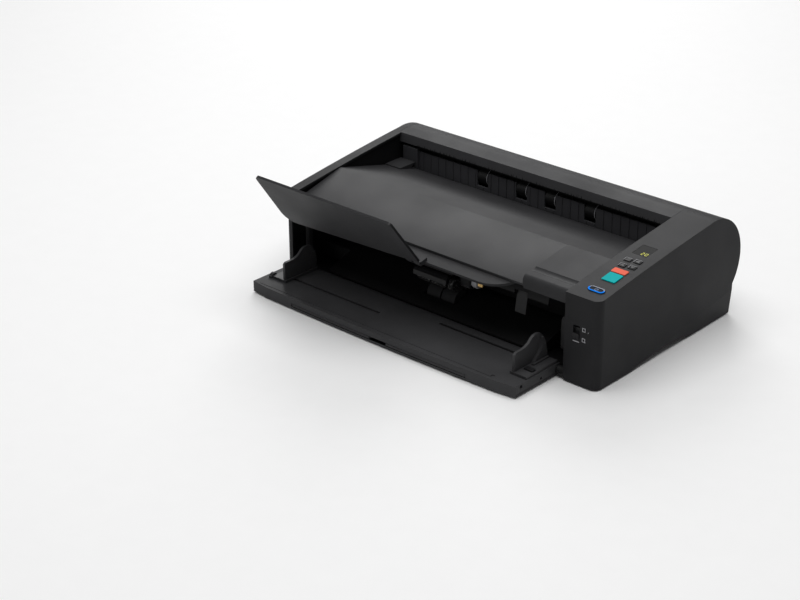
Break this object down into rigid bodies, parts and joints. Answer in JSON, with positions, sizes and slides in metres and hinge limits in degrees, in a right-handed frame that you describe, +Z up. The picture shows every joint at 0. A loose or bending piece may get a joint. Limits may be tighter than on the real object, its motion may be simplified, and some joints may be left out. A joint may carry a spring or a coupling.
{
  "type": "sheet fed document scanner",
  "caption": "Desktop scanner that feeds sheets from a folding front tray round a U-turn to an eject tray on top, with sliding guides, rollers, a raised flap and a key panel.",
  "frame": {"origin": "under the middle of the whole scanner as it stands with its feed tray open and its flap raised, at the height of the desk", "axes": "+X to the right of someone facing the scanner, +Y to its rear, +Z up"},
  "size_m": [0.424, 0.3134, 0.1418],
  "materials": {
    "cover_black": "fine texture",
    "inner_black": "matte",
    "steel": "satin",
    "rubber": "matte",
    "roller_white": "matte",
    "pinion_white": "matte",
    "bronze": "satin",
    "board": "matte",
    "glass": "clear",
    "window": "gloss",
    "button_blue": "satin",
    "button_teal": "satin",
    "button_coral": "satin"
  },
  "bodies": {
    "body": {"base_pan": "inner_black", "rubber_feet": "rubber", "left_side_cover": "cover_black", "right_side_cover": "cover_black", "left_inner_cover": "inner_black", "right_inner_cover": "inner_black", "left_frame_plate": "steel", "right_frame_plate": "steel", "rear_bar_cover": "cover_black", "rear_round_cover": "cover_black", "rear_lower_cover": "cover_black", "rear_guide_panel": "inner_black", "antistatic_brush": "inner_black", "turn_drum": "inner_black", "lower_guide": "inner_black", "lower_scan_unit": "inner_black", "lower_scan_glass": "glass", "main_motor": "steel", "drive_belt": "rubber", "control_board": "board", "panel_board": "board", "dc_inlet": "inner_black", "usb_port": "steel", "display_window": "window", "cover_screws": "steel", "shaft_bushes": "bronze", "hinge_pins": "steel"},
    "motor_pulley": {"motor_pulley": "steel"},
    "registration_roller": {"registration_roller": "rubber"},
    "transport_roller": {"transport_roller": "rubber"},
    "eject_roller": {"eject_roller": "rubber"},
    "eject_pinch_rollers": {"eject_pinch_rollers": "roller_white"},
    "separation_roller": {"separation_roller": "rubber"},
    "power_button": {"power_button": "button_blue"},
    "start_button": {"start_button": "button_teal"},
    "stop_button": {"stop_button": "button_coral"},
    "option_button_1": {"option_button_1": "cover_black"},
    "option_button_2": {"option_button_2": "cover_black"},
    "option_button_3": {"option_button_3": "cover_black"},
    "option_button_4": {"option_button_4": "cover_black"},
    "mode_lever": {"mode_lever": "cover_black"},
    "upper_unit": {"eject_tray_cover": "cover_black", "upper_frame": "inner_black", "upper_scan_unit": "inner_black", "feed_motor": "steel"},
    "feed_roller": {"feed_roller": "rubber"},
    "pickup_arm": {"pickup_arm": "inner_black"},
    "pickup_roller": {"pickup_roller": "roller_white"},
    "registration_pinch": {"registration_pinch": "rubber"},
    "transport_pinch": {"transport_pinch": "rubber"},
    "open_lever": {"open_lever": "cover_black"},
    "eject_extension": {"eject_extension": "cover_black"},
    "extension_flap": {"extension_flap": "cover_black"},
    "feed_tray": {"feed_tray": "cover_black", "feed_tray_bottom": "inner_black"},
    "tray_extension": {"tray_extension": "cover_black"},
    "guide_right": {"guide_right": "cover_black"},
    "guide_left": {"guide_left": "cover_black"},
    "guide_pinion": {"guide_pinion": "pinion_white"},
    "guide_lock": {"guide_lock": "cover_black"}
  },
  "joints": [
    {"name": "motor_spin", "type": "hinge", "parent": "body", "child": "motor_pulley", "pos_m": [0, 0.10472, 0.06281], "axis": [1, 0, 0], "continuous": true},
    {"name": "registration_spin", "type": "hinge", "parent": "body", "child": "registration_roller", "pos_m": [0, -0.01028, 0.0193], "axis": [1, 0, 0], "continuous": true},
    {"name": "transport_spin", "type": "hinge", "parent": "body", "child": "transport_roller", "pos_m": [0, 0.06572, 0.0193], "axis": [1, 0, 0], "continuous": true},
    {"name": "eject_spin", "type": "hinge", "parent": "body", "child": "eject_roller", "pos_m": [0, 0.09772, 0.0925], "axis": [1, 0, 0], "continuous": true},
    {"name": "eject_pinch_spin", "type": "hinge", "parent": "body", "child": "eject_pinch_rollers", "pos_m": [0, 0.09772, 0.1063], "axis": [1, 0, 0], "continuous": true},
    {"name": "separation_spin", "type": "hinge", "parent": "body", "child": "separation_roller", "pos_m": [0, -0.04628, 0.0183], "axis": [1, 0, 0], "continuous": true},
    {"name": "power_press", "type": "slide", "parent": "body", "child": "power_button", "axis": [0, 0.1384, -0.9904], "range_m": [0, 0.001], "stiffness_N_per_m": 300, "springref_m": -0.001},
    {"name": "start_press", "type": "slide", "parent": "body", "child": "start_button", "axis": [0, 0.1317, -0.9913], "range_m": [0, 0.001], "stiffness_N_per_m": 300, "springref_m": -0.001},
    {"name": "stop_press", "type": "slide", "parent": "body", "child": "stop_button", "axis": [0, 0.1283, -0.9917], "range_m": [0, 0.001], "stiffness_N_per_m": 300, "springref_m": -0.001},
    {"name": "option_press_1", "type": "slide", "parent": "body", "child": "option_button_1", "axis": [0, 0.1254, -0.9921], "range_m": [0, 0.001], "stiffness_N_per_m": 300, "springref_m": -0.001},
    {"name": "option_press_2", "type": "slide", "parent": "body", "child": "option_button_2", "axis": [0, 0.125, -0.9922], "range_m": [0, 0.001], "stiffness_N_per_m": 300, "springref_m": -0.001},
    {"name": "option_press_3", "type": "slide", "parent": "body", "child": "option_button_3", "axis": [0, 0.1223, -0.9925], "range_m": [0, 0.001], "stiffness_N_per_m": 300, "springref_m": -0.001},
    {"name": "option_press_4", "type": "slide", "parent": "body", "child": "option_button_4", "axis": [0, 0.122, -0.9925], "range_m": [0, 0.001], "stiffness_N_per_m": 300, "springref_m": -0.001},
    {"name": "mode_slide", "type": "slide", "parent": "body", "child": "mode_lever", "axis": [0, 0, 1], "range_m": [0, 0.008]},
    {"name": "upper_unit_open", "type": "hinge", "parent": "body", "child": "upper_unit", "pos_m": [0, 0.08072, 0.084], "axis": [-1, 0, 0], "range_deg": [0, 30]},
    {"name": "feed_spin", "type": "hinge", "parent": "upper_unit", "child": "feed_roller", "pos_m": [0, -0.04628, 0.041], "axis": [1, 0, 0], "continuous": true},
    {"name": "pickup_lower", "type": "hinge", "parent": "upper_unit", "child": "pickup_arm", "pos_m": [0, -0.04628, 0.041], "axis": [1, 0, 0], "range_deg": [0, 45], "stiffness_Nm_per_rad": 0.01, "springref_deg": -28.65},
    {"name": "pickup_spin", "type": "hinge", "parent": "pickup_arm", "child": "pickup_roller", "pos_m": [0, -0.06628, 0.046], "axis": [1, 0, 0], "continuous": true},
    {"name": "registration_pinch_spin", "type": "hinge", "parent": "upper_unit", "child": "registration_pinch", "pos_m": [0, -0.01028, 0.0378], "axis": [1, 0, 0], "continuous": true},
    {"name": "transport_pinch_spin", "type": "hinge", "parent": "upper_unit", "child": "transport_pinch", "pos_m": [0, 0.06572, 0.0378], "axis": [1, 0, 0], "continuous": true},
    {"name": "open_lever_pull", "type": "hinge", "parent": "upper_unit", "child": "open_lever", "pos_m": [0, -0.05928, 0.08], "axis": [-1, 0, 0], "range_deg": [0, 12], "stiffness_Nm_per_rad": 0.05, "springref_deg": -5.73},
    {"name": "eject_extension_slide", "type": "slide", "parent": "upper_unit", "child": "eject_extension", "axis": [0, -0.9711, -0.2385], "range_m": [-0.011, 0]},
    {"name": "flap_fold", "type": "hinge", "parent": "eject_extension", "child": "extension_flap", "pos_m": [0, -0.1092, 0.0819], "axis": [1, 0, 0], "range_deg": [-111.6, 0]},
    {"name": "feed_tray_fold", "type": "hinge", "parent": "body", "child": "feed_tray", "pos_m": [0, -0.08378, 0.007], "axis": [1, 0, 0], "range_deg": [-90, 0]},
    {"name": "tray_extension_slide", "type": "slide", "parent": "feed_tray", "child": "tray_extension", "axis": [0, -1, 0], "range_m": [0, 0.05]},
    {"name": "guide_right_slide", "type": "slide", "parent": "feed_tray", "child": "guide_right", "axis": [-1, 0, 0], "range_m": [0, 0.125]},
    {"name": "guide_left_slide", "type": "slide", "parent": "feed_tray", "child": "guide_left", "axis": [1, 0, 0], "range_m": [0, 0.125]},
    {"name": "guide_pinion_spin", "type": "hinge", "parent": "feed_tray", "child": "guide_pinion", "pos_m": [-0.016, -0.10628, 0.009], "axis": [0, 0, 1], "range_deg": [0, 895.26]},
    {"name": "guide_lock_press", "type": "slide", "parent": "guide_right", "child": "guide_lock", "axis": [0, 0, -1], "range_m": [0, 0.001], "stiffness_N_per_m": 300, "springref_m": -0.001}
  ],
  "couplings": [
    {"joint": "registration_spin", "follows": "motor_spin", "ratio": 0.66667},
    {"joint": "transport_spin", "follows": "motor_spin", "ratio": 0.66667},
    {"joint": "eject_spin", "follows": "motor_spin", "ratio": -0.74286},
    {"joint": "eject_pinch_spin", "follows": "motor_spin", "ratio": 1.685},
    {"joint": "registration_pinch_spin", "follows": "motor_spin", "ratio": -0.85},
    {"joint": "transport_pinch_spin", "follows": "motor_spin", "ratio": -0.85},
    {"joint": "pickup_spin", "follows": "feed_spin", "ratio": 1.6667},
    {"joint": "separation_spin", "follows": "feed_spin", "ratio": -1},
    {"joint": "guide_left_slide", "follows": "guide_right_slide", "ratio": 1},
    {"joint": "guide_pinion_spin", "follows": "guide_right_slide", "rad_per_m": 125}
  ]
}
